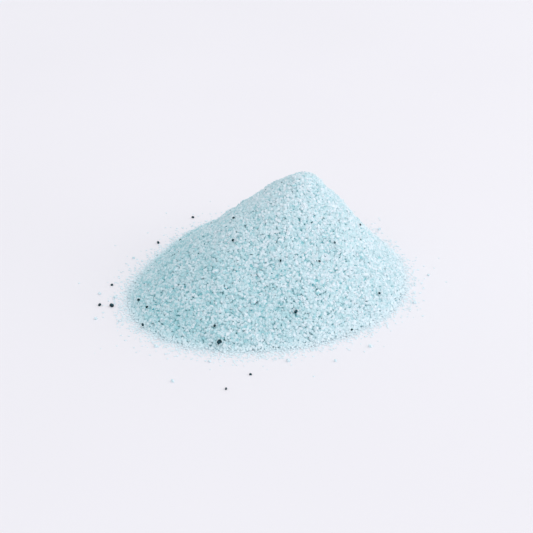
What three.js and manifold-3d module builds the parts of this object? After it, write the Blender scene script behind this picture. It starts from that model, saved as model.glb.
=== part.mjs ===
// A poured heap of pale blue-green salt crystals: the fine bulk, the coarse crystals half sunk in
// its flanks, the dark grains lying on it, and the loose crystals round its foot.
// Millimetres, +Z up. The origin is on the surface that the heap stands on, in the middle of its
// foot; +X points to the side that the peak leans to.
//
// A bearing is an angle about +Z from +X, and "down" runs from 0 at the peak to 1 at the edge of
// the foot.

import * as THREE from 'three';
import { ConvexGeometry } from 'three/addons/geometries/ConvexGeometry.js';
import { mergeVertices } from 'three/addons/utils/BufferGeometryUtils.js';
import Module from 'manifold-3d';

const wasm = await Module();
wasm.setup();

// ---------------------------------------------------------------- driving dimensions

const HEAP_HEIGHT = 38.7;
const FOOT_RADIUS = 51.4; // the foot's mean radius
const PEAK_OFFSET = 12; // the peak stands this far towards +X from the middle of the foot
const PEAK_ROUNDING = 3.3; // radius that the peak is rounded to
const FLANK_SWELL = 1; // how far the flanks bow out halfway down
const SKIRT_WIDTH = 4; // the thin skirt of crystals round the foot
const SKIRT_THICKNESS = 0.6; // about one fine crystal
const SKIRT_BLEND = 2; // how gently the flank runs out into the skirt
const RELIEF_HEIGHT = 0.45; // the shallow slips and hollows of the flanks
const FOOT_LOBES = [
  { count: 2, swell: 5, facing: -112 },
  { count: 3, swell: 2, facing: -26 },
];

const COARSE_SIZE = { length: 2.4, width: 1.8, thickness: 1.5 };
const COARSE_SINK = 0.8; // depth of a coarse crystal below the flank
const SEAT_CLEARANCE = 0.3; // gap between a coarse crystal and its seat in the bulk
const DARK_PLUMPNESS = { width: 0.72, thickness: 0.62 }; // of a dark grain, to its length
const LOOSE_SIZE = { length: 1.1, width: 0.85, thickness: 0.7 };
const LOOSE_SPREAD = { least: 0.85, most: 1.25 }; // scale of the smallest and largest loose crystal
const REST_GAP = 0.4; // gap under a grain that lies on the flank

const HEAP_SIDES = 72; // facets round the heap
const FLANK_RINGS = 18; // facets down it

// Each kind of crystal counts its shapes from a seed of its own, so that no two kinds share one.
const FIRST_SEED = { coarse: 0, dark: 20, looseDark: 40, loose: 60 };

// Coarse crystals: where each one is seated, and how much larger than the plain size it is.
const COARSE_CRYSTALS = [
  { bearing: -118, down: 0.1, scale: 0.9 },
  { bearing: -99, down: 0.4, scale: 1 },
  { bearing: -105, down: 0.56, scale: 1.15 },
  { bearing: -130, down: 0.6, scale: 1.05 },
  { bearing: -103, down: 0.69, scale: 1.1 },
  { bearing: -58, down: 0.4, scale: 0.9 },
  { bearing: -30, down: 0.6, scale: 1 },
  { bearing: -70, down: 0.68, scale: 0.95 },
  { bearing: -150, down: 0.42, scale: 0.95 },
  { bearing: -156, down: 0.7, scale: 1 },
  { bearing: 8, down: 0.4, scale: 1 },
  { bearing: 35, down: 0.62, scale: 1.05 },
  { bearing: 66, down: 0.4, scale: 0.9 },
  { bearing: 95, down: 0.66, scale: 1.1 },
  { bearing: 128, down: 0.5, scale: 1 },
  { bearing: 160, down: 0.58, scale: 1.05 },
];

// Dark grains lying on the flanks.
const DARK_GRAINS = [
  { bearing: -109, down: 0.91, length: 1.8 },
  { bearing: -82, down: 0.76, length: 1.3 },
  { bearing: -139, down: 0.96, length: 1.1 },
  { bearing: -135, down: 0.45, length: 1 },
  { bearing: -114, down: 0.83, length: 1 },
  { bearing: -147, down: 0.88, length: 0.9 },
  { bearing: -155, down: 0.9, length: 1 },
  { bearing: -165, down: 0.38, length: 0.9 },
  { bearing: -50, down: 0.46, length: 0.8 },
  { bearing: -67, down: 0.52, length: 0.8 },
  { bearing: -95, down: 0.5, length: 0.8 },
  { bearing: -2, down: 0.5, length: 0.8 },
  { bearing: -33, down: 0.82, length: 0.9 },
  { bearing: -57, down: 0.94, length: 0.9 },
  { bearing: 100, down: 0.45, length: 1 },
  { bearing: 140, down: 0.92, length: 1 },
];

// Dark grains that rolled clear: "beyond" is the distance past the edge of the foot.
const LOOSE_DARK_GRAINS = [
  { bearing: -159, beyond: 2.8, length: 1.6 },
  { bearing: -161, beyond: 6.8, length: 1.2 },
  { bearing: -175, beyond: 4.7, length: 1 },
  { bearing: -95, beyond: 10.7, length: 0.9 },
  { bearing: -100, beyond: 19.3, length: 0.9 },
  { bearing: 119, beyond: 7.2, length: 1.1 },
  { bearing: 144, beyond: 3.7, length: 1.2 },
  { bearing: 85, beyond: 5, length: 0.9 },
];

// Pale crystals that rolled clear.
const LOOSE_CRYSTALS = [
  { bearing: -169, beyond: 7.6 },
  { bearing: -165, beyond: 1.8 },
  { bearing: -148, beyond: 2 },
  { bearing: -153, beyond: 9 },
  { bearing: -127, beyond: 2 },
  { bearing: -113, beyond: 18 },
  { bearing: -108, beyond: 3.7 },
  { bearing: -84, beyond: 4 },
  { bearing: -70, beyond: 9 },
  { bearing: -56, beyond: 7 },
  { bearing: -20, beyond: 3 },
  { bearing: 3, beyond: 6.5 },
  { bearing: 45, beyond: 4 },
  { bearing: 75, beyond: 7 },
  { bearing: 104, beyond: 3 },
  { bearing: 161, beyond: 5.6 },
];

// ---------------------------------------------------------------- materials

const crystalMaterial = (color, roughness) =>
  new THREE.MeshStandardMaterial({ color, roughness, metalness: 0 });

const FINE_BLUE_GREEN = () => crystalMaterial(0xbdd8e2, 0.6);
const PALE_CRYSTAL = () => crystalMaterial(0xdbeaf0, 0.35);
const DARK_CRYSTAL = () => crystalMaterial(0x1f3e4c, 0.35);

// ---------------------------------------------------------------- the heap's surface

const radians = THREE.MathUtils.degToRad;

function footRadius(bearing) {
  return FOOT_LOBES.reduce(
    (radius, lobe) => radius + lobe.swell * Math.cos(lobe.count * (bearing - radians(lobe.facing))),
    FOOT_RADIUS,
  );
}

// 0 at the peak and at the edge of the foot, 1 halfway down.
const midFlank = (down) => 4 * down * (1 - down);

// A rounded cone that bows out a little and runs out into the thin skirt.
function flankHeight(down) {
  const roundedRun = (run) => Math.hypot(run, PEAK_ROUNDING) - PEAK_ROUNDING;
  const fall = HEAP_HEIGHT / roundedRun(FOOT_RADIUS - SKIRT_WIDTH);
  const cone = HEAP_HEIGHT - fall * roundedRun(down * FOOT_RADIUS) + FLANK_SWELL * midFlank(down);
  return (cone + SKIRT_THICKNESS + Math.hypot(cone - SKIRT_THICKNESS, SKIRT_BLEND)) / 2;
}

function relief(bearing, down) {
  const slips = Math.sin(3 * bearing + 5 * down) + 0.6 * Math.sin(8 * bearing - 9 * down);
  return RELIEF_HEIGHT * midFlank(down) * slips;
}

function surfacePoint(bearing, down) {
  const run = down * footRadius(bearing);
  return new THREE.Vector3(
    PEAK_OFFSET * (1 - down) + run * Math.cos(bearing),
    run * Math.sin(bearing),
    flankHeight(down) + relief(bearing, down),
  );
}

function surfaceNormal(bearing, down) {
  const step = 0.01;
  const around = surfacePoint(bearing + step, down).sub(surfacePoint(bearing - step, down));
  const inwards = surfacePoint(bearing, down - step).sub(surfacePoint(bearing, down + step));
  return around.cross(inwards).normalize();
}

// ---------------------------------------------------------------- crystals

// A repeatable number from 0 to 1, another for each seed and each thing drawn.
const DRAWN = { lean: 1, nip: 2, spin: 3, scale: 4 };

function chance(seed, draw) {
  const wave = Math.sin(seed * 12.9898 + draw * 78.233) * 43758.5453;
  return wave - Math.floor(wave);
}

const chanceSpin = (seed) => 2 * Math.PI * chance(seed, DRAWN.spin);

// A stubby leaning prism with its corners cut, lying on a flat face at z = 0. Its three rings of
// corners are given as shares of its length, width and thickness.
function crystalGeometry({ length, width, thickness }, seed) {
  const lean = 0.1 * (chance(seed, DRAWN.lean) - 0.5);
  const nip = 0.06 + 0.1 * chance(seed, DRAWN.nip);
  const foot = [[-0.4, -0.3 + nip], [0.36, -0.4], [0.44, 0.26], [-0.3, 0.4 - nip]];
  const waist = [
    [-0.5, nip - 0.1], [-0.34, -0.5], [0.36 - nip, -0.5],
    [0.5, 0.06], [0.3, 0.5], [-0.38, 0.5 - nip],
  ];
  const crown = [[-0.32, -0.3], [0.26, -0.32 + nip], [0.34 - nip, 0.24], [-0.22, 0.34]];
  const rings = [
    { level: 0, reach: foot },
    { level: 0.45 + nip, reach: waist },
    { level: 1, reach: crown },
  ];
  const corner = (x, y, level) =>
    new THREE.Vector3((x + lean * level) * length, y * width, level * thickness);
  const corners = rings.flatMap(({ level, reach }) => reach.map(([x, y]) => corner(x, y, level)));
  return new ConvexGeometry(corners);
}

const scaled = (size, scale) => ({
  length: size.length * scale,
  width: size.width * scale,
  thickness: size.thickness * scale,
});

const darkSize = (length) => ({
  length,
  width: length * DARK_PLUMPNESS.width,
  thickness: length * DARK_PLUMPNESS.thickness,
});

const grown = (size, clearance) => ({
  length: size.length + 2 * clearance,
  width: size.width + 2 * clearance,
  thickness: size.thickness + 2 * clearance,
});

// Lays a mesh on the flank, its own +Z along the surface's normal, lifted by `lift`.
function layOnFlank(mesh, bearing, down, lift, spin) {
  const normal = surfaceNormal(bearing, down);
  const upright = new THREE.Quaternion().setFromUnitVectors(new THREE.Vector3(0, 0, 1), normal);
  const turn = new THREE.Quaternion().setFromAxisAngle(new THREE.Vector3(0, 0, 1), spin);
  mesh.quaternion.copy(upright).multiply(turn);
  mesh.position.copy(surfacePoint(bearing, down)).addScaledVector(normal, lift);
  return mesh;
}

// Lays a mesh on the table, `beyond` past the edge of the foot.
function layOnTable(mesh, bearing, beyond, spin) {
  const reach = footRadius(bearing) + beyond;
  mesh.position.set(reach * Math.cos(bearing), reach * Math.sin(bearing), 0);
  mesh.rotation.z = spin;
  return mesh;
}

function named(stem, index, geometry, material) {
  const mesh = new THREE.Mesh(geometry, material);
  mesh.name = `${stem}_${String(index + 1).padStart(2, '0')}`;
  return mesh;
}

// ---------------------------------------------------------------- solids for cutting

function toSolid(geometry) {
  const bare = geometry.clone();
  bare.deleteAttribute('normal');
  bare.deleteAttribute('uv');
  const merged = mergeVertices(bare, 1e-4);
  const corner = merged.index.array;
  const triVerts = [];
  for (let i = 0; i < corner.length; i += 3) {
    const [a, b, c] = [corner[i], corner[i + 1], corner[i + 2]];
    if (a !== b && b !== c && c !== a) triVerts.push(a, b, c);
  }
  return new wasm.Manifold(new wasm.Mesh({
    numProp: 3,
    vertProperties: new Float32Array(merged.attributes.position.array),
    triVerts: new Uint32Array(triVerts),
  }));
}

function toGeometry(solid) {
  const { vertProperties, triVerts } = solid.getMesh();
  const geometry = new THREE.BufferGeometry();
  geometry.setAttribute('position', new THREE.BufferAttribute(vertProperties, 3));
  geometry.setIndex(new THREE.BufferAttribute(triVerts, 1));
  geometry.computeVertexNormals();
  return geometry;
}

// ---------------------------------------------------------------- the pieces

// The bulk: a lathe of radius 1 whose rings are then drawn out to the foot's outline and moved
// towards the peak.
function heapGeometry() {
  const profile = [new THREE.Vector2(0, 0), new THREE.Vector2(1, 0)];
  for (let ring = 0; ring <= FLANK_RINGS; ring += 1) {
    const down = 1 - ring / FLANK_RINGS;
    profile.push(new THREE.Vector2(down, flankHeight(down)));
  }
  const geometry = new THREE.LatheGeometry(profile, HEAP_SIDES);
  geometry.rotateX(Math.PI / 2);
  const position = geometry.attributes.position;
  const point = new THREE.Vector3();
  for (let i = 0; i < position.count; i += 1) {
    point.fromBufferAttribute(position, i);
    const down = Math.hypot(point.x, point.y);
    const shaped = surfacePoint(Math.atan2(point.y, point.x), down);
    const onTable = point.z < SKIRT_THICKNESS / 2;
    position.setXYZ(i, shaped.x, shaped.y, onTable ? 0 : shaped.z);
  }
  return geometry;
}

function coarseCrystal({ bearing, down, scale }, index, clearance = 0) {
  const seed = FIRST_SEED.coarse + index;
  const geometry = crystalGeometry(grown(scaled(COARSE_SIZE, scale), clearance), seed);
  const crystal = named('coarse_crystal', index, geometry, PALE_CRYSTAL());
  const sink = COARSE_SINK + clearance;
  return layOnFlank(crystal, radians(bearing), down, -sink, chanceSpin(seed));
}

function heapBulk() {
  let bulk = toSolid(heapGeometry());
  COARSE_CRYSTALS.forEach((place, index) => {
    const seat = coarseCrystal(place, index, SEAT_CLEARANCE);
    seat.updateMatrix();
    bulk = bulk.subtract(toSolid(seat.geometry.clone().applyMatrix4(seat.matrix)));
  });
  const mesh = new THREE.Mesh(toGeometry(bulk), FINE_BLUE_GREEN());
  mesh.name = 'fine_crystal_bulk';
  return mesh;
}

function darkGrain({ bearing, down, length }, index) {
  const seed = FIRST_SEED.dark + index;
  const grain = named('dark_grain', index, crystalGeometry(darkSize(length), seed), DARK_CRYSTAL());
  return layOnFlank(grain, radians(bearing), down, REST_GAP, chanceSpin(seed));
}

function looseDarkGrain({ bearing, beyond, length }, index) {
  const seed = FIRST_SEED.looseDark + index;
  const geometry = crystalGeometry(darkSize(length), seed);
  const grain = named('loose_dark_grain', index, geometry, DARK_CRYSTAL());
  return layOnTable(grain, radians(bearing), beyond, chanceSpin(seed));
}

function looseCrystal({ bearing, beyond }, index) {
  const seed = FIRST_SEED.loose + index;
  const { least, most } = LOOSE_SPREAD;
  const size = scaled(LOOSE_SIZE, least + (most - least) * chance(seed, DRAWN.scale));
  const crystal = named('loose_crystal', index, crystalGeometry(size, seed), PALE_CRYSTAL());
  return layOnTable(crystal, radians(bearing), beyond, chanceSpin(seed));
}

// ---------------------------------------------------------------- assembly

const heap = new THREE.Group();
heap.add(heapBulk());
heap.add(...COARSE_CRYSTALS.map((place, index) => coarseCrystal(place, index)));
heap.add(...DARK_GRAINS.map(darkGrain));

const spill = new THREE.Group();
spill.add(...LOOSE_DARK_GRAINS.map(looseDarkGrain));
spill.add(...LOOSE_CRYSTALS.map(looseCrystal));

const group = new THREE.Group();
group.add(heap, spill);

export default group;
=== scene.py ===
"""A poured heap of pale blue-green crystals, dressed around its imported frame.

The frame gives the heap's body and every crystal that has a place of its own. This script covers
the body with fine crystals, thins them out round the foot, adds the dust of dark fines, and gives
each crystal its finish. Lengths are in metres, +Z is up.
"""

import math
import random

import bmesh
import bpy
import numpy as np
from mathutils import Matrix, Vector, noise
from mathutils.bvhtree import BVHTree


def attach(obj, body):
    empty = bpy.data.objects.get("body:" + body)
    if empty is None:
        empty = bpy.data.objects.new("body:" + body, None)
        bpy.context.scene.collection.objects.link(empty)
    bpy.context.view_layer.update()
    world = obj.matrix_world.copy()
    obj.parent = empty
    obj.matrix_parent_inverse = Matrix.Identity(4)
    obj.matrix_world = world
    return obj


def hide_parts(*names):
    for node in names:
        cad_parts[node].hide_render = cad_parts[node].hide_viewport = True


bl_info = {
    "name": "Crystal Heap",
    "version": (1, 0, 0),
    "blender": (4, 5, 0),
    "location": "View3D > Sidebar > Crystal Heap",
    "description": "Covers a heap's body with crystals and sets it on a pale studio floor",
    "category": "Object",
}

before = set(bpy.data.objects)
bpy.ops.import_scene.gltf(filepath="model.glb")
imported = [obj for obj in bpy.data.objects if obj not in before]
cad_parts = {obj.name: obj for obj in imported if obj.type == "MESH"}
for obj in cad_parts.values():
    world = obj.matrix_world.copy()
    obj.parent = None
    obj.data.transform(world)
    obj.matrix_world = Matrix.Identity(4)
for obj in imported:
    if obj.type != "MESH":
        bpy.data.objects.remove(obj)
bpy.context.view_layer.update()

MM = 0.001
BULK = "fine_crystal_bulk"
BODY = "root"
COARSE_NODES = sorted(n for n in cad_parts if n.startswith("coarse_crystal"))
LOOSE_NODES = sorted(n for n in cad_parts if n.startswith("loose_crystal"))
DARK_NODES = sorted(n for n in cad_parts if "dark_grain" in n)

# The toe is the strip inside the foot's edge where the crystals thin out. Its width varies round
# the foot. In millimetres: its mean, and what it gains at the front and on the left.
TOE_MEAN, TOE_FRONT, TOE_LEFT = 3.4, 1.9, 0.6

# Places across the toe, in toe widths inward from the foot's edge.
# painted light: across the toe the crystals are painted paler, for the light through thinly lying
# crystals on the white table and to hide the shade at their feet
PALING = (0.3, 1.45)  # crystals pale from the second to the first
SINK_START = 1.5  # the flanks start to sink towards the table
BARE_EDGE = 0.15  # the flanks' crystals stop
FINE_MESH_START = 1.2  # the surface to strew on is cut finer
APRON_START = 1.4  # the flat fines start
APRON_FULL = 0.7  # the flat fines reach their greatest cover

# How the slopes between those places bend: above 1, most of the change comes late.
SINK_POWER = 1.5
THINNING_POWER = 1.3
APRON_POWER = 1.5

# The flat fines' cover near the foot's edge and far past it, and how fast each falls off.
EDGE_COVER, EDGE_REACH = 0.3, 1.6 * MM
FAR_COVER, FAR_REACH = 0.004, 9 * MM
RAGGEDNESS, RAGGED_WIDTH = 0.2, 3.5 * MM  # of the bays and tongues in the foot's edge

SEAT_REACH = 0.34 * MM  # faces this near to a coarse crystal are its seat
NEAR_TABLE = 0.1 * MM  # points this low belong to the underside
SALT_IOR = 1.47
SALT_GLOSS = 0.3
SEED_STEPS = {"lift": 11.0, "size": 23.0, "turn": 37.0, "shape": 41.0, "tint": 53.0}


# ------------------------------------------------------------------ settings


class HeapCrystals(bpy.types.PropertyGroup):
    """Sizes and numbers of the crystals that cover the heap."""

    fine_size: bpy.props.FloatProperty(
        name="Fine crystal",
        description="Length of a fine crystal",
        default=0.95 * MM,
        unit="LENGTH",
    )
    spread: bpy.props.FloatProperty(
        name="Spread",
        description="How far the sizes vary either way, as a share",
        default=0.38,
        subtype="FACTOR",
    )
    layer_density: bpy.props.FloatProperty(
        name="Crystals in a layer",
        description="Crystals to a square metre in each layer",
        default=1.15e6,
    )
    lump_height: bpy.props.FloatProperty(
        name="Lump height",
        description="Height of the small slips that unsettle the flanks",
        default=0.6 * MM,
        unit="LENGTH",
    )
    lump_width: bpy.props.FloatProperty(
        name="Lump width",
        description="Width of the small slips",
        default=7 * MM,
        unit="LENGTH",
    )
    core_drop: bpy.props.FloatProperty(
        name="Core drop",
        description="How far below the heap's surface its plain core lies",
        default=0.75 * MM,
        unit="LENGTH",
    )
    scatter_width: bpy.props.FloatProperty(
        name="Scatter width",
        description="How far past the foot loose fines reach",
        default=19 * MM,
        unit="LENGTH",
    )


def colour_property(name, description, default):
    return bpy.props.FloatVectorProperty(
        name=name, description=description, default=default, size=3, subtype="COLOR", min=0, max=1
    )


class HeapColours(bpy.types.PropertyGroup):
    """Colours of the crystals, as linear values."""

    # painted shade: the dark teal that shows in the crevices between the crystals
    gap: colour_property("Gap", "What shows between the crystals", (0.16, 0.50, 0.54))
    # deep serves both as a stronger colour some crystals have at random and as the painted shade
    # of the lower layers and the crevices
    deep: colour_property("Deep", "The most strongly coloured crystals", (0.31, 0.60, 0.645))
    middle: colour_property("Middle", "Most crystals", (0.575, 0.745, 0.79))
    pale: colour_property("Pale", "Whitish crystals", (0.72, 0.81, 0.86))
    # painted light: crystals lying singly are painted paler, for the light through them and to
    # hide the shade round them
    thin: colour_property("Thin", "Crystals that lie singly on the table", (0.74, 0.85, 0.895))
    dark: colour_property("Dark", "The dark grains", (0.006, 0.026, 0.034))
    fines: colour_property("Fines", "The darkest of the dark fines", (0.025, 0.13, 0.155))
    # painted light: how much paler the crystals are painted on the heap's right and top, where the
    # light falls most strongly
    painted_light_drift: bpy.props.FloatProperty(
        name="Drift",
        description="How much paler the crystals are on the heap's right than on its left",
        default=0.3,
        subtype="FACTOR",
    )
    softness: bpy.props.FloatProperty(
        name="Softness",
        description="How far light passes through the crystals and evens out their faces",
        default=0.3,
        subtype="FACTOR",
    )
    floor: colour_property("Floor", "The studio floor", (0.825, 0.82, 0.853))


class HeapStage(bpy.types.PropertyGroup):
    """Camera and lights."""

    elevation: bpy.props.FloatProperty(
        name="Elevation",
        description="Angle that the camera looks down at",
        default=math.radians(27),
        subtype="ANGLE",
    )
    distance: bpy.props.FloatProperty(
        name="Distance",
        description="From the camera to the heap",
        default=0.5,
        unit="LENGTH",
    )
    lens: bpy.props.FloatProperty(
        name="Lens", description="Focal length in millimetres", default=100
    )
    sky: bpy.props.FloatProperty(
        name="Room light", description="Strength of the even light all round", default=1.0
    )
    lean: bpy.props.FloatProperty(
        name="Room light's lean",
        description="How much stronger the room light is from the right than from all round",
        default=0.34,
        subtype="FACTOR",
    )
    key: bpy.props.FloatProperty(
        name="Key light",
        description="Power of the softbox on the right",
        default=2.8,
        unit="POWER",
    )


# ------------------------------------------------------------------ node helpers


def add_node(tree, kind, **settings):
    node = tree.nodes.new(kind)
    for key, value in settings.items():
        setattr(node, key, value)
    return node


def feed(tree, socket, value):
    """Links a socket to another node's output, or sets its plain value."""
    if isinstance(value, bpy.types.NodeSocket):
        tree.links.new(value, socket)
    else:
        socket.default_value = value


def compute(tree, operation, *values):
    """A maths node's output."""
    node = add_node(tree, "ShaderNodeMath", operation=operation)
    for socket, value in zip(node.inputs, values):
        feed(tree, socket, value)
    return node.outputs[0]


def random_number(tree, low, high, seed, kind="FLOAT"):
    """A repeatable random value for each crystal."""
    node = add_node(tree, "FunctionNodeRandomValue", data_type=kind)
    places = {"FLOAT": (2, 3, 1), "FLOAT_VECTOR": (0, 1, 0), "INT": (4, 5, 2)}[kind]
    feed(tree, node.inputs[places[0]], low)
    feed(tree, node.inputs[places[1]], high)
    feed(tree, node.inputs["Seed"], seed)
    return node.outputs[places[2]]


# ------------------------------------------------------------------ the crystal scatter


SHAPE_COUNT = 6  # different crystals in a collection of shapes
SCATTER_INPUTS = [
    ("Density", "NodeSocketFloat", 1.0e6),
    ("Seed", "NodeSocketInt", 1),
    ("Size", "NodeSocketFloat", MM),
    ("Spread", "NodeSocketFloat", 0.3),
    ("Edge size", "NodeSocketFloat", 0.4),
    ("Lift", "NodeSocketFloat", 0.0),
    ("Unevenness", "NodeSocketFloat", 0.1 * MM),
    ("Tilt", "NodeSocketFloat", 0.8),
    ("Tint low", "NodeSocketFloat", 0.0),
    ("Tint high", "NodeSocketFloat", 1.0),
    ("Seat", "NodeSocketFloat", 0.55),
    ("Lump height", "NodeSocketFloat", 0.4 * MM),
    ("Lump width", "NodeSocketFloat", 7 * MM),
    ("Dark grains", "NodeSocketObject", None),
    ("Dark clearance", "NodeSocketFloat", 0.5 * MM),
    ("Shapes", "NodeSocketCollection", None),
    ("Shape count", "NodeSocketInt", SHAPE_COUNT),
    ("Material", "NodeSocketMaterial", None),
]


def scatter_tree():
    """Geometry nodes that strew crystals over a surface, as its 'cover' attribute says."""
    tree = bpy.data.node_groups.new("Crystal scatter", "GeometryNodeTree")
    tree.is_modifier = True
    tree.interface.new_socket("Geometry", in_out="INPUT", socket_type="NodeSocketGeometry")
    for name, kind, default in SCATTER_INPUTS:
        socket = tree.interface.new_socket(name, in_out="INPUT", socket_type=kind)
        if default is not None:
            socket.default_value = default
    tree.interface.new_socket("Geometry", in_out="OUTPUT", socket_type="NodeSocketGeometry")
    given = add_node(tree, "NodeGroupInput").outputs

    def seed_for(draw):
        return compute(tree, "ADD", given["Seed"], SEED_STEPS[draw])

    # strew points as thickly as the cover says
    named = add_node(tree, "GeometryNodeInputNamedAttribute", data_type="FLOAT")
    named.inputs["Name"].default_value = "cover"
    cover = named.outputs["Attribute"]
    points = add_node(tree, "GeometryNodeDistributePointsOnFaces", distribute_method="RANDOM")
    feed(tree, points.inputs["Mesh"], given["Geometry"])
    feed(tree, points.inputs["Density"], compute(tree, "MULTIPLY", given["Density"], cover))
    feed(tree, points.inputs["Seed"], given["Seed"])

    # keep the slope's own direction for the finish
    slope = add_node(
        tree, "GeometryNodeStoreNamedAttribute", data_type="FLOAT_VECTOR", domain="POINT"
    )
    slope.inputs["Name"].default_value = "slope"
    feed(tree, slope.inputs["Geometry"], points.outputs["Points"])
    feed(tree, slope.inputs["Value"], points.outputs["Normal"])

    # lift each point off the surface, on lumps that every layer shares and that end with the cover
    noise_reach = 4.0  # brings the noise's swing to about 1 either way
    place = add_node(tree, "GeometryNodeInputPosition").outputs[0]
    waves = add_node(tree, "ShaderNodeTexNoise", noise_dimensions="3D")
    feed(tree, waves.inputs["Vector"], place)
    feed(tree, waves.inputs["Scale"], compute(tree, "DIVIDE", 1.0, given["Lump width"]))
    feed(tree, waves.inputs["Detail"], 3.0)
    swing = compute(tree, "SUBTRACT", waves.outputs[0], 0.5)
    full_swing = compute(tree, "MULTIPLY", swing, noise_reach)
    lump = compute(tree, "MULTIPLY", full_swing, given["Lump height"])
    minus = compute(tree, "MULTIPLY", given["Unevenness"], -1.0)
    own_lift = random_number(tree, minus, given["Unevenness"], seed_for("lift"))
    stray = compute(tree, "MULTIPLY", compute(tree, "ADD", own_lift, lump), cover)
    lift = compute(tree, "ADD", given["Lift"], stray)
    offset = add_node(tree, "ShaderNodeVectorMath", operation="SCALE")
    feed(tree, offset.inputs[0], points.outputs["Normal"])
    feed(tree, offset.inputs["Scale"], lift)
    lifted = add_node(tree, "GeometryNodeSetPosition")
    feed(tree, lifted.inputs["Geometry"], slope.outputs[0])
    feed(tree, lifted.inputs["Offset"], offset.outputs[0])

    # leave the dark grains in sight
    dark = add_node(tree, "GeometryNodeObjectInfo")
    feed(tree, dark.inputs["Object"], given["Dark grains"])
    near = add_node(tree, "GeometryNodeProximity")
    feed(tree, near.inputs[0], dark.outputs["Geometry"])
    close = compute(tree, "LESS_THAN", near.outputs["Distance"], given["Dark clearance"])
    clear = add_node(tree, "GeometryNodeDeleteGeometry", domain="POINT")
    feed(tree, clear.inputs["Geometry"], lifted.outputs[0])
    feed(tree, clear.inputs["Selection"], close)

    # size each crystal, smaller where the cover ends
    smallest = compute(tree, "SUBTRACT", 1.0, given["Spread"])
    largest = compute(tree, "ADD", 1.0, given["Spread"])
    share = random_number(tree, smallest, largest, seed_for("size"))
    edge = given["Edge size"]
    grown = compute(tree, "MULTIPLY", cover, compute(tree, "SUBTRACT", 1.0, edge))
    share = compute(tree, "MULTIPLY", share, compute(tree, "ADD", edge, grown))
    size = compute(tree, "MULTIPLY", given["Size"], share)

    # no crystal reaches below the table
    parts = add_node(tree, "ShaderNodeSeparateXYZ")
    feed(tree, parts.inputs[0], place)
    low = compute(tree, "MULTIPLY", size, given["Seat"])
    grounded = add_node(tree, "ShaderNodeCombineXYZ")
    feed(tree, grounded.inputs[0], parts.outputs[0])
    feed(tree, grounded.inputs[1], parts.outputs[1])
    feed(tree, grounded.inputs[2], compute(tree, "MAXIMUM", parts.outputs[2], low))
    settled = add_node(tree, "GeometryNodeSetPosition")
    feed(tree, settled.inputs["Geometry"], clear.outputs[0])
    feed(tree, settled.inputs["Position"], grounded.outputs[0])

    # lay a crystal at each point, flat on the slope but for its tilt
    def turn(tilt_sign):
        angles = add_node(tree, "ShaderNodeCombineXYZ")
        tilt = compute(tree, "MULTIPLY", given["Tilt"], tilt_sign)
        feed(tree, angles.inputs[0], tilt)
        feed(tree, angles.inputs[1], tilt)
        feed(tree, angles.inputs[2], math.pi * tilt_sign)
        return angles.outputs[0]

    swivel = random_number(tree, turn(-1.0), turn(1.0), seed_for("turn"), "FLOAT_VECTOR")
    turned = add_node(tree, "FunctionNodeRotateRotation", rotation_space="LOCAL")
    feed(tree, turned.inputs[0], points.outputs["Rotation"])
    feed(tree, turned.inputs[1], swivel)
    shapes = add_node(tree, "GeometryNodeCollectionInfo")
    shapes.inputs["Separate Children"].default_value = True
    shapes.inputs["Reset Children"].default_value = True
    feed(tree, shapes.inputs["Collection"], given["Shapes"])
    lay = add_node(tree, "GeometryNodeInstanceOnPoints")
    feed(tree, lay.inputs["Points"], settled.outputs[0])
    feed(tree, lay.inputs["Instance"], shapes.outputs[0])
    lay.inputs["Pick Instance"].default_value = True
    last = compute(tree, "SUBTRACT", given["Shape count"], 1.0)
    which = random_number(tree, 0, last, seed_for("shape"), "INT")
    feed(tree, lay.inputs["Instance Index"], which)
    feed(tree, lay.inputs["Rotation"], turned.outputs[0])
    feed(tree, lay.inputs["Scale"], size)

    # store each crystal's tint for the finish, and its number for the map
    geometry = lay.outputs[0]
    tint = random_number(tree, given["Tint low"], given["Tint high"], seed_for("tint"))
    number = add_node(tree, "GeometryNodeInputIndex").outputs[0]
    for name, kind, value in (("tint", "FLOAT", tint), ("number", "INT", number)):
        store = add_node(
            tree, "GeometryNodeStoreNamedAttribute", data_type=kind, domain="INSTANCE"
        )
        store.inputs["Name"].default_value = name
        feed(tree, store.inputs["Geometry"], geometry)
        feed(tree, store.inputs["Value"], value)
        geometry = store.outputs[0]
    real = add_node(tree, "GeometryNodeRealizeInstances")
    feed(tree, real.inputs[0], geometry)
    dressed = add_node(tree, "GeometryNodeSetMaterial")
    feed(tree, dressed.inputs["Geometry"], real.outputs[0])
    feed(tree, dressed.inputs["Material"], given["Material"])
    result = add_node(tree, "NodeGroupOutput")
    feed(tree, result.inputs[0], dressed.outputs[0])
    return tree


def strew(name, surface, tree, values):
    """Strews crystals over a surface and returns them as one plain mesh object."""
    host = bpy.data.objects.new(name + "_host", surface)
    bpy.context.scene.collection.objects.link(host)
    modifier = host.modifiers.new("Crystals", "NODES")
    modifier.node_group = tree
    for item in tree.interface.items_tree:
        if item.in_out == "INPUT" and item.name in values:
            modifier[item.identifier] = values[item.name]
    graph = bpy.context.evaluated_depsgraph_get()
    mesh = bpy.data.meshes.new_from_object(
        host.evaluated_get(graph), preserve_all_data_layers=True, depsgraph=graph
    )
    mesh.name = name
    bpy.data.objects.remove(host)
    give_each_crystal_its_cell(mesh)
    crystals = bpy.data.objects.new(name, mesh)
    bpy.context.scene.collection.objects.link(crystals)
    return crystals


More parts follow.
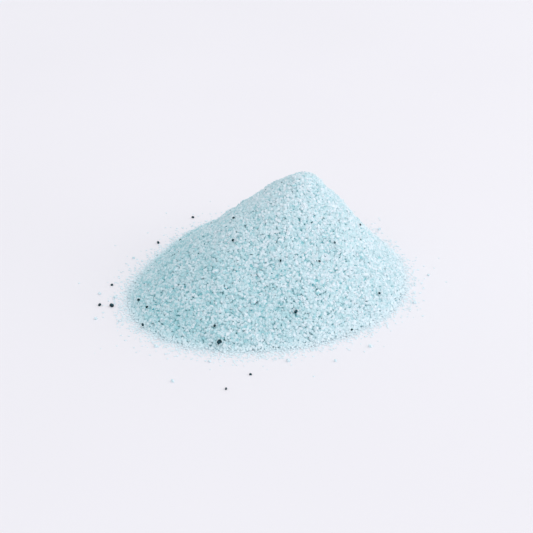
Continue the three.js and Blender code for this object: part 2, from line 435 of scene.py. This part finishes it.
def give_each_crystal_its_cell(mesh):
    """Lays the crystals' faces out on one map, each crystal in a square of its own."""
    corners = len(mesh.loops)
    vertex = np.empty(corners, np.int32)
    mesh.loops.foreach_get("vertex_index", vertex)
    number = np.empty(len(mesh.vertices), np.int32)
    mesh.attributes["number"].data.foreach_get("value", number)
    layout = np.empty(corners * 2, np.float32)
    mesh.uv_layers["cell"].data.foreach_get("uv", layout)
    mine = number[vertex]
    side = math.ceil(math.sqrt(number.max() + 1))
    square = np.stack([mine % side, mine // side], 1)
    margin = 0.1
    placed = (square + margin + (1 - 2 * margin) * layout.reshape(-1, 2)) / side
    mesh.uv_layers.remove(mesh.uv_layers["cell"])
    mesh.uv_layers.new(name="OFBake").data.foreach_set("uv", placed.astype(np.float32).ravel())


# ------------------------------------------------------------------ crystal shapes


MOST_LEAN = 0.12  # of a crystal's end, to its length
CORNER_PLAY = (0.86, 1.04)  # how far out a corner lies, to its plain place
NIP = (0.25, 0.45)  # how far along its edges a corner is nipped off


def crystal_mesh(name, width, thickness, luck):
    """A leaning prism of unit length with one of its corners nipped off, as a closed mesh."""
    lean = luck.uniform(-MOST_LEAN, MOST_LEAN)
    corners = []
    for x, y, z in np.ndindex(2, 2, 2):
        point = Vector((x - 0.5, (y - 0.5) * width, (z - 0.5) * thickness))
        point.x += lean * (y - 0.5) * 2
        point *= luck.uniform(*CORNER_PLAY)
        corners.append(point)
    nipped = luck.randrange(8)
    points = [p for i, p in enumerate(corners) if i != nipped]
    for step in (1, 2, 4):
        neighbour = corners[nipped ^ step]
        points.append(corners[nipped].lerp(neighbour, luck.uniform(*NIP)))
    shape = bmesh.new()
    for point in points:
        shape.verts.new(point)
    hull = bmesh.ops.convex_hull(shape, input=shape.verts)
    inside = [v for v in hull["geom_interior"] if isinstance(v, bmesh.types.BMVert)]
    bmesh.ops.delete(shape, geom=inside, context="VERTS")
    bmesh.ops.recalc_face_normals(shape, faces=shape.faces)
    lay_out_faces(shape)
    mesh = bpy.data.meshes.new(name)
    shape.to_mesh(mesh)
    shape.free()
    return mesh


def lay_out_faces(shape):
    """Gives each face of a crystal its own part of the unit square, in a map named 'cell'."""
    layer = shape.loops.layers.uv.new("cell")
    shape.faces.ensure_lookup_table()
    side = math.ceil(math.sqrt(len(shape.faces)))
    outline = ((0.05, 0.05), (0.95, 0.05), (0.5, 0.95))
    for i, face in enumerate(shape.faces):
        for loop, (u, v) in zip(face.loops, outline):
            loop[layer].uv = ((i % side + u) / side, (i // side + v) / side)


def shape_collection(name, width, thickness, seed):
    """Crystals of one habit, for the scatter to pick from."""
    luck = random.Random(seed)
    shapes = bpy.data.collections.new(name)
    for i in range(SHAPE_COUNT):
        mesh = crystal_mesh(f"{name}_{i}", luck.uniform(*width), luck.uniform(*thickness), luck)
        shapes.objects.link(bpy.data.objects.new(mesh.name, mesh))
    return shapes


# ------------------------------------------------------------------ surfaces to strew on


def joined_nodes(nodes):
    """The frame's nodes as one merged bmesh."""
    whole = bmesh.new()
    for node in nodes:
        whole.from_mesh(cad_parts[node].data)
    bmesh.ops.remove_doubles(whole, verts=whole.verts, dist=0.002 * MM)
    return whole


def foot_radius(turn):
    """The foot's radius at a bearing, read from the frame."""
    return float(np.interp(turn, *FOOT_OUTLINE, period=2 * math.pi))


def read_foot_outline():
    """The bearings and the radii of the points on the edge of the foot."""
    rim = np.array([v.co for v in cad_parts[BULK].data.vertices if v.co.z < NEAR_TABLE])
    reach = np.hypot(rim[:, 0], rim[:, 1])
    outer = reach > 0.6 * reach.max()  # leaves out points in the middle of the underside
    return np.arctan2(rim[outer, 1], rim[outer, 0]), reach[outer]


FOOT_OUTLINE = read_foot_outline()


def toe_width(turn):
    """How far in from the foot's edge the crystals start to thin out."""
    return (TOE_MEAN - TOE_FRONT * math.sin(turn) - TOE_LEFT * math.cos(turn)) * MM


def inside_foot(place):
    """How far in from the foot's edge a place is, and its share of the way across the toe."""
    turn = math.atan2(place.y, place.x)
    inside = foot_radius(turn) - math.hypot(place.x, place.y)
    return inside, inside / toe_width(turn)


def clamped(share):
    return min(max(share, 0.0), 1.0)


def ease(share):
    """0 below 0, 1 above 1, smooth between."""
    share = clamped(share)
    return share * share * (3 - 2 * share)


def sink_toe(shape):
    """Lets the foot of a shape run out to nothing instead of ending in a low wall."""
    for vertex in shape.verts:
        vertex.co.z *= ease(inside_foot(vertex.co)[1] / SINK_START) ** SINK_POWER


def ragged(place):
    """Small bays and tongues in the edge of the foot."""
    return RAGGEDNESS * noise.noise(Vector((place.x, place.y, 0)) / RAGGED_WIDTH)


def flank_cover(place):
    """How thickly the flanks' crystals lie: 1 but for the toe, where they stop short."""
    share = inside_foot(place)[1] + ragged(place)
    return ease((share - BARE_EDGE) / (1 - BARE_EDGE)) ** THINNING_POWER


def apron_cover(place):
    """How thickly flat fines lie on the table: most under the toe, few well past it."""
    inside, share = inside_foot(place)
    if inside > 0:
        across = clamped(share / APRON_FULL + ragged(place))
        return EDGE_COVER + (1 - EDGE_COVER) * across**APRON_POWER
    tongues = 1 + 3 * ragged(place)
    near = EDGE_COVER * math.exp(inside / EDGE_REACH) * tongues
    return near + FAR_COVER * math.exp(inside / FAR_REACH)


def store_cover(mesh, cover_at):
    """Stores how thickly crystals lie at each point, and how far across the toe it is."""
    cover = [cover_at(v.co) for v in mesh.vertices]
    inset = [inside_foot(v.co)[1] for v in mesh.vertices]
    mesh.attributes.new("cover", "FLOAT", "POINT").data.foreach_set("value", cover)
    mesh.attributes.new("inset", "FLOAT", "POINT").data.foreach_set("value", inset)


def flank_surface():
    """The heap's outer surface, with no underside and with the coarse crystals' seats closed."""
    coarse = BVHTree.FromBMesh(joined_nodes(COARSE_NODES))
    skin = joined_nodes([BULK])

    def in_seat(face):
        return all(coarse.find_nearest(v.co)[3] < SEAT_REACH for v in face.verts)

    def underneath(face):
        return all(v.co.z < NEAR_TABLE for v in face.verts)

    def across_toe(edge):
        return min(inside_foot(v.co)[1] for v in edge.verts) < FINE_MESH_START

    hidden = [f for f in skin.faces if in_seat(f) or underneath(f)]
    bmesh.ops.delete(skin, geom=hidden, context="FACES")
    rims = [e for e in skin.edges if e.is_boundary and min(v.co.z for v in e.verts) > NEAR_TABLE]
    bmesh.ops.holes_fill(skin, edges=rims, sides=0)
    toe = [e for e in skin.edges if across_toe(e)]
    bmesh.ops.subdivide_edges(skin, edges=toe, cuts=3, use_grid_fill=True)
    bmesh.ops.triangulate(skin, faces=skin.faces)
    bmesh.ops.recalc_face_normals(skin, faces=skin.faces)
    sink_toe(skin)
    mesh = bpy.data.meshes.new("flanks")
    skin.to_mesh(mesh)
    skin.free()
    store_cover(mesh, flank_cover)
    return mesh


def apron_surface(width):
    """A ring on the table, from under the toe outwards."""
    rings, count = 40, 180
    crowding = 1.6  # draws the rings together near the foot
    points = []
    for ring in range(rings + 1):
        for turn in np.linspace(-math.pi, math.pi, count, endpoint=False):
            start = -APRON_START * toe_width(turn)
            reach = foot_radius(turn) + start + (width - start) * (ring / rings) ** crowding
            points.append((reach * math.cos(turn), reach * math.sin(turn), 0))
    faces = []
    for ring in range(rings):
        for i in range(count):
            here = ring * count
            after = (i + 1) % count
            faces.append((here + i, here + count + i, here + count + after, here + after))
    mesh = bpy.data.meshes.new("apron")
    mesh.from_pydata(points, [], faces)
    store_cover(mesh, apron_cover)
    return mesh


# ------------------------------------------------------------------ finishes


def new_finish(name):
    """A material with a Principled shader, and that shader."""
    material = bpy.data.materials.new(name)
    material.use_nodes = True
    shader = material.node_tree.nodes["Principled BSDF"]
    return material, material.node_tree, shader


def colour_mix(tree, factor, first, second):
    """A blend of two colours, each a plain colour or another node's output."""
    node = add_node(tree, "ShaderNodeMix", data_type="RGBA")
    feed(tree, node.inputs[0], factor)
    for socket, colour in ((node.inputs[6], first), (node.inputs[7], second)):
        feed(tree, socket, colour if isinstance(colour, bpy.types.NodeSocket) else (*colour, 1))
    return node.outputs[2]


def between(tree, value, low, high):
    """0 below low, 1 above high, smooth between."""
    node = add_node(tree, "ShaderNodeMapRange", interpolation_type="SMOOTHSTEP")
    feed(tree, node.inputs["Value"], value)
    node.inputs["From Min"].default_value = low
    node.inputs["From Max"].default_value = high
    return node.outputs[0]


def attribute(tree, name):
    """A number that the crystals carry."""
    return add_node(tree, "ShaderNodeAttribute", attribute_name=name).outputs["Fac"]


def grain_noise(tree, width, detail=2.0):
    """Noise over the object's own coordinates, with features of the given width."""
    where = add_node(tree, "ShaderNodeTexCoord").outputs["Object"]
    waves = add_node(tree, "ShaderNodeTexNoise")
    feed(tree, waves.inputs["Vector"], where)
    waves.inputs["Scale"].default_value = 1 / width
    waves.inputs["Detail"].default_value = detail
    return waves.outputs[0]


def softened_normal(tree, share):
    """Turns the faces' shading towards the slope's, as light that passes through them would."""
    own = add_node(tree, "ShaderNodeNewGeometry").outputs["Normal"]
    slope = add_node(tree, "ShaderNodeAttribute", attribute_name="slope").outputs["Vector"]
    blend = add_node(tree, "ShaderNodeMix", data_type="VECTOR")
    feed(tree, blend.inputs[0], share)
    feed(tree, blend.inputs[4], own)
    feed(tree, blend.inputs[5], slope)
    unit = add_node(tree, "ShaderNodeVectorMath", operation="NORMALIZE")
    feed(tree, unit.inputs[0], blend.outputs[1])
    return unit.outputs[0]


def pitted(tree, shader, width, depth, smooth, rough, normal=None):
    """Roughness that wanders from smooth to rough, and shallow pits."""
    waves = grain_noise(tree, width, 3.0)
    spread = add_node(tree, "ShaderNodeMapRange")
    feed(tree, spread.inputs["Value"], waves)
    limits = {"From Min": 0.3, "From Max": 0.7, "To Min": smooth, "To Max": rough}
    for name, limit in limits.items():
        spread.inputs[name].default_value = limit
    feed(tree, shader.inputs["Roughness"], spread.outputs[0])
    bump = add_node(tree, "ShaderNodeBump")
    bump.inputs["Strength"].default_value = 0.35
    bump.inputs["Distance"].default_value = depth
    feed(tree, bump.inputs["Height"], waves)
    if normal:
        feed(tree, bump.inputs["Normal"], normal)
    feed(tree, shader.inputs["Normal"], bump.outputs[0])


def painted_light_drift(tree):
    """Painted light: 0 on the heap's left, 1 on its right and top, which are painted whiter as if
    more strongly lit.
    """
    reach = 45 * MM
    along = add_node(tree, "ShaderNodeVectorMath", operation="DOT_PRODUCT")
    feed(tree, along.inputs[0], add_node(tree, "ShaderNodeTexCoord").outputs["Object"])
    feed(tree, along.inputs[1], (1.0, 0.0, 0.4))
    return between(tree, along.outputs["Value"], -reach, reach)


def fine_finish(colours):
    """Fine crystals: pale blue-green, some stronger, some whitish; painted paler on the heap's
    right and top as painted light, and painted paler where they lie thin, for the light through
    them.
    """
    material, tree, shader = new_finish("fine crystal")
    # painted light: the tint leans whiter towards the heap's right and top, as if more strongly
    # lit
    lit_side = painted_light_drift(tree)
    shift = compute(tree, "MULTIPLY", compute(tree, "SUBTRACT", lit_side, 0.5), colours.painted_light_drift)
    tint = compute(tree, "ADD", attribute(tree, "tint"), shift)
    strong = colour_mix(tree, between(tree, tint, 0.0, 0.45), colours.deep, colours.middle)
    body = colour_mix(tree, between(tree, tint, 0.5, 1.0), strong, colours.pale)
    # patches of stronger colour: their width, and their share on the strongly coloured left and on
    # the right, where the painted light thins them out
    for width, most, least in ((2.2 * MM, 0.8, 0.25), (12 * MM, 0.25, 0.15)):
        patches = between(tree, grain_noise(tree, width), 0.48, 0.75)
        fade = compute(tree, "MULTIPLY", lit_side, most - least)
        share = compute(tree, "MULTIPLY", patches, compute(tree, "SUBTRACT", most, fade))
        body = colour_mix(tree, share, body, colours.deep)
    # painted light: paler towards the foot's edge, for the light through the thinly lying crystals
    # and to hide the shade at their feet
    thin = between(tree, attribute(tree, "inset"), *reversed(PALING))
    body = colour_mix(tree, compute(tree, "MULTIPLY", thin, 0.9), body, colours.thin)
    feed(tree, shader.inputs["Base Color"], body)
    shader.inputs["IOR"].default_value = SALT_IOR
    shader.inputs["Specular IOR Level"].default_value = SALT_GLOSS
    soft = softened_normal(tree, colours.softness)
    pitted(tree, shader, 0.35 * MM, 0.05 * MM, 0.4, 0.7, soft)
    return material


def core_finish(colours):
    """What shows between the crystals: the same salt, painted a darker teal for the shade in the
    crevices.
    """
    material, tree, shader = new_finish("crystal core")
    veil = between(tree, grain_noise(tree, 0.8 * MM), 0.3, 0.7)
    feed(tree, shader.inputs["Base Color"], colour_mix(tree, veil, colours.gap, colours.deep))
    pitted(tree, shader, 0.8 * MM, 0.2 * MM, 0.5, 0.8)
    return material


def veiled_finish(name, strong, weak):
    """A large crystal with a wandering veil of colour and faintly scratched faces."""
    material, tree, shader = new_finish(name)
    veil = between(tree, grain_noise(tree, 0.8 * MM), 0.35, 0.65)
    feed(tree, shader.inputs["Base Color"], colour_mix(tree, veil, strong, weak))
    shader.inputs["IOR"].default_value = SALT_IOR
    shader.inputs["Specular IOR Level"].default_value = SALT_GLOSS
    pitted(tree, shader, 0.5 * MM, 0.06 * MM, 0.3, 0.55)
    return material


def pale_finish(colours):
    """Coarse crystals in the flanks: whitish, with a breath of colour."""
    return veiled_finish("pale crystal", colours.deep, colours.pale)


def loose_finish(colours):
    """Crystals that lie singly on the table: paler, for the light that passes through them."""
    return veiled_finish("loose crystal", colours.middle, colours.thin)


def dark_finish(colours):
    """Dark grains: nearly black, with a blue-green cast on some faces."""
    material, tree, shader = new_finish("dark crystal")
    lit = tuple(min(1.0, 4 * c) for c in colours.dark)
    veil = between(tree, grain_noise(tree, 0.6 * MM), 0.45, 0.75)
    feed(tree, shader.inputs["Base Color"], colour_mix(tree, veil, colours.dark, lit))
    shader.inputs["IOR"].default_value = 1.5
    shader.inputs["Specular IOR Level"].default_value = 0.1
    pitted(tree, shader, 0.3 * MM, 0.05 * MM, 0.3, 0.6)
    return material


def fines_finish(colours):
    """Dark fines: strongly coloured splinters, from blue-green to nearly black."""
    material, tree, shader = new_finish("dark fines")
    shade = between(tree, attribute(tree, "tint"), 0.2, 1.0)
    lit = tuple(3 * c for c in colours.fines)
    feed(tree, shader.inputs["Base Color"], colour_mix(tree, shade, colours.fines, lit))
    shader.inputs["Specular IOR Level"].default_value = 0.25
    pitted(tree, shader, 0.2 * MM, 0.03 * MM, 0.4, 0.7)
    return material


def finish_named(name, make):
    """The material of that name, made on first use."""
    return bpy.data.materials.get(name) or make(bpy.context.scene.heap_colours)


# ------------------------------------------------------------------ operators


def dark_places():
    """The dark grains as one object outside the scene, for the scatter to keep clear of."""
    found = bpy.data.objects.get("dark_places")
    if found:
        return found
    joined = joined_nodes(DARK_NODES)
    mesh = bpy.data.meshes.new("dark_places")
    joined.to_mesh(mesh)
    joined.free()
    return bpy.data.objects.new("dark_places", mesh)


def shared_values(scene):
    """The scatter's values that every layer shares."""
    crystals = scene.heap_crystals
    return {
        "Spread": crystals.spread,
        "Size": crystals.fine_size,
        "Density": crystals.layer_density,
        "Lump height": crystals.lump_height,
        "Lump width": crystals.lump_width,
        "Dark grains": dark_places(),
        "Material": finish_named("fine crystal", fine_finish),
    }


def settle(piece):
    """Puts a piece on the heap's body."""
    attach(piece, BODY)


class HEAP_OT_core(bpy.types.Operator):
    """Make the heap's plain core, a little inside its surface"""

    bl_idname = "heap.core"
    bl_label = "Heap core"

    def execute(self, context):
        drop = context.scene.heap_crystals.core_drop
        toe_drop = 1.0 * MM  # what the foot's edge drops by in addition
        core = joined_nodes([BULK])
        sink_toe(core)
        for vertex in core.verts:
            share = clamped(inside_foot(vertex.co)[1] / APRON_START)
            vertex.co.z -= drop + toe_drop * (1 - share**2)

        # cut it level just above the table and close it there
        everything = core.verts[:] + core.edges[:] + core.faces[:]
        cut = bmesh.ops.bisect_plane(
            core,
            geom=everything,
            plane_co=(0, 0, 0.05 * MM),
            plane_no=(0, 0, 1),
            clear_inner=True,
        )
        edges = [e for e in cut["geom_cut"] if isinstance(e, bmesh.types.BMEdge)]
        bmesh.ops.holes_fill(core, edges=edges, sides=0)
        bmesh.ops.triangulate(core, faces=core.faces)
        bmesh.ops.recalc_face_normals(core, faces=core.faces)
        mesh = bpy.data.meshes.new("heap_core")
        core.to_mesh(mesh)
        core.free()
        mesh.materials.append(finish_named("crystal core", core_finish))
        piece = bpy.data.objects.new("heap_core", mesh)
        context.scene.collection.objects.link(piece)
        settle(piece)
        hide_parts(BULK)
        return {"FINISHED"}


class HEAP_OT_flank_crystals(bpy.types.Operator):
    """Cover the flanks with layers of fine crystals"""

    bl_idname = "heap.flank_crystals"
    bl_label = "Flank crystals"

    def execute(self, context):
        surface = flank_surface()
        tree = scatter_tree()
        values = shared_values(context.scene)
        values["Shapes"] = shape_collection("fine_shapes", (0.6, 0.9), (0.5, 0.8), 4)
        # painted shade: the lower layers' tints lean to the deep colour, for the shade and
        # filtered light deeper among the crystals; within each range the tint is random
        layers = (
            {"Lift": -0.6 * MM, "Tint low": 0.0, "Tint high": 0.4},
            {"Lift": -0.45 * MM, "Tint low": 0.0, "Tint high": 0.6},
            {"Lift": -0.3 * MM, "Tint low": 0.1, "Tint high": 1.0},
            {"Lift": -0.15 * MM, "Tint low": 0.2, "Tint high": 1.0},
        )
        first_seed = 10
        for i, layer in enumerate(layers):
            own = values | layer | {"Seed": first_seed + i}
            piece = strew(f"fine_crystals_{i + 1}", surface, tree, own)
            settle(piece)
        return {"FINISHED"}


class HEAP_OT_foot_crystals(bpy.types.Operator):
    """Thin the crystals out round the foot"""

    bl_idname = "heap.foot_crystals"
    bl_label = "Foot crystals"

    def execute(self, context):
        crystals = context.scene.heap_crystals
        surface = apron_surface(crystals.scatter_width)
        tree = bpy.data.node_groups["Crystal scatter"]
        values = shared_values(context.scene)
        values |= {
            "Shapes": shape_collection("flat_shapes", (0.6, 0.9), (0.2, 0.35), 5),
            "Seed": 31,
            "Density": 4 * crystals.layer_density,
            "Size": 0.65 * crystals.fine_size,
            "Lump height": 0.0,
            "Tilt": 0.1,
            "Seat": 0.14,
            "Edge size": 0.9,
        }
        piece = strew("foot_crystals", surface, tree, values)
        settle(piece)
        return {"FINISHED"}


class HEAP_OT_own_crystals(bpy.types.Operator):
    """Finish the coarse, loose and dark crystals that have a place of their own"""

    bl_idname = "heap.own_crystals"
    bl_label = "Coarse and dark crystals"

    def execute(self, context):
        finishes = (
            (COARSE_NODES, finish_named("pale crystal", pale_finish)),
            (LOOSE_NODES, finish_named("loose crystal", loose_finish)),
            (DARK_NODES, finish_named("dark crystal", dark_finish)),
        )
        for names, finish in finishes:
            for name in names:
                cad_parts[name].material_slots[0].material = finish
        return {"FINISHED"}


class HEAP_OT_dark_fines(bpy.types.Operator):
    """Sprinkle dark fines over the flanks"""

    bl_idname = "heap.dark_fines"
    bl_label = "Dark fines"

    def execute(self, context):
        surface = flank_surface()
        values = shared_values(context.scene)
        values |= {
            "Shapes": bpy.data.collections["fine_shapes"],
            "Material": finish_named("dark fines", fines_finish),
            "Density": 1.8e4,
            "Seed": 61,
            "Size": 0.45 * MM,
            "Lift": 0.1 * MM,
        }
        tree = bpy.data.node_groups["Crystal scatter"]
        piece = strew("dark_fines", surface, tree, values)
        settle(piece)
        return {"FINISHED"}


class HEAP_OT_stage(bpy.types.Operator):
    """Lay the pale floor and set the lights and the camera"""

    bl_idname = "heap.stage"
    bl_label = "Stage"

    def execute(self, context):
        scene = context.scene
        stage = scene.heap_stage
        scene.view_settings.view_transform = "Standard"
        self.lay_floor(scene)
        self.light_room(scene, stage)
        self.set_camera(scene, stage)
        return {"FINISHED"}

    def lay_floor(self, scene):
        """A wide plane on the table's level, with a barely uneven shade."""
        reach = 3.0
        mesh = bpy.data.meshes.new("floor")
        corners = [(-reach, -reach, 0), (reach, -reach, 0), (reach, reach, 0), (-reach, reach, 0)]
        mesh.from_pydata(corners, [], [(0, 1, 2, 3)])
        material, tree, shader = new_finish("floor")
        floor_colour = scene.heap_colours.floor
        faint = between(tree, grain_noise(tree, 0.2), 0.3, 0.7)
        shade = tuple(0.985 * c for c in floor_colour)
        feed(tree, shader.inputs["Base Color"], colour_mix(tree, faint, floor_colour, shade))
        shader.inputs["Roughness"].default_value = 0.9
        shader.inputs["Specular IOR Level"].default_value = 0.1
        mesh.materials.append(material)
        floor = bpy.data.objects.new("floor", mesh)
        scene.collection.objects.link(floor)

    def light_room(self, scene, stage):
        """Even light all round that leans to the right, and one large softbox on the right."""
        world = bpy.data.worlds.new("room")
        world.use_nodes = True
        tree = world.node_tree
        sky = tree.nodes["Background"]
        brightest = Vector((1.0, -0.7, 0.0)).normalized()  # to the right and a little forward
        towards = add_node(tree, "ShaderNodeVectorMath", operation="DOT_PRODUCT")
        feed(tree, towards.inputs[0], add_node(tree, "ShaderNodeTexCoord").outputs["Generated"])
        feed(tree, towards.inputs[1], brightest)
        side = compute(tree, "MULTIPLY_ADD", towards.outputs["Value"], 0.5, 0.5)
        left = tuple((1 - stage.lean) * c for c in (0.96, 0.97, 1.0))
        right = tuple((1 + stage.lean) * c for c in (0.97, 0.965, 0.99))
        feed(tree, sky.inputs["Color"], colour_mix(tree, side, left, right))
        sky.inputs["Strength"].default_value = stage.sky
        scene.world = world
        light = bpy.data.lights.new("key", "AREA")
        light.energy = stage.key
        light.size = 1.4
        light.color = (1.0, 0.96, 0.955)
        softbox = bpy.data.objects.new("key", light)
        softbox.location = (0.75, 0.0, 0.65)
        softbox.rotation_euler = (-softbox.location).to_track_quat("-Z", "Y").to_euler()
        scene.collection.objects.link(softbox)

    def set_camera(self, scene, stage):
        """The camera looks from the front, down at a point just above the heap's foot."""
        stand = Vector((-0.8 * MM, -5.5 * MM, 0))
        aim = stand + Vector((0, 0, 7.6 * MM))
        back = Vector((0, -math.cos(stage.elevation), math.sin(stage.elevation)))
        data = bpy.data.cameras.new("camera")
        data.lens = stage.lens
        data.clip_start = 0.01
        camera = bpy.data.objects.new("camera", data)
        camera.location = stand + back * stage.distance
        camera.rotation_euler = (aim - camera.location).to_track_quat("-Z", "Y").to_euler()
        scene.collection.objects.link(camera)
        scene.camera = camera


class HEAP_PT_panel(bpy.types.Panel):
    """The heap's settings and its operators, in order"""

    bl_idname = "HEAP_PT_panel"
    bl_label = "Crystal Heap"
    bl_space_type = "VIEW_3D"
    bl_region_type = "UI"
    bl_category = "Crystal Heap"

    def draw(self, context):
        for group in ("heap_crystals", "heap_colours", "heap_stage"):
            settings = getattr(context.scene, group)
            box = self.layout.box()
            for key in type(settings).__annotations__:
                box.prop(settings, key)
        for operator in OPERATORS:
            self.layout.operator(operator.bl_idname)


OPERATORS = (
    HEAP_OT_core,
    HEAP_OT_flank_crystals,
    HEAP_OT_foot_crystals,
    HEAP_OT_own_crystals,
    HEAP_OT_dark_fines,
    HEAP_OT_stage,
)
SETTINGS = {
    "heap_crystals": HeapCrystals,
    "heap_colours": HeapColours,
    "heap_stage": HeapStage,
}


def register():
    for kind in (*SETTINGS.values(), *OPERATORS, HEAP_PT_panel):
        bpy.utils.register_class(kind)
    for name, kind in SETTINGS.items():
        setattr(bpy.types.Scene, name, bpy.props.PointerProperty(type=kind))


def unregister():
    for name in SETTINGS:
        delattr(bpy.types.Scene, name)
    for kind in reversed((*SETTINGS.values(), *OPERATORS, HEAP_PT_panel)):
        bpy.utils.unregister_class(kind)


def main():
    register()
    bpy.ops.heap.core()
    bpy.ops.heap.flank_crystals()
    bpy.ops.heap.foot_crystals()
    bpy.ops.heap.own_crystals()
    bpy.ops.heap.dark_fines()
    bpy.ops.heap.stage()


if __name__ == "__main__":
    main()
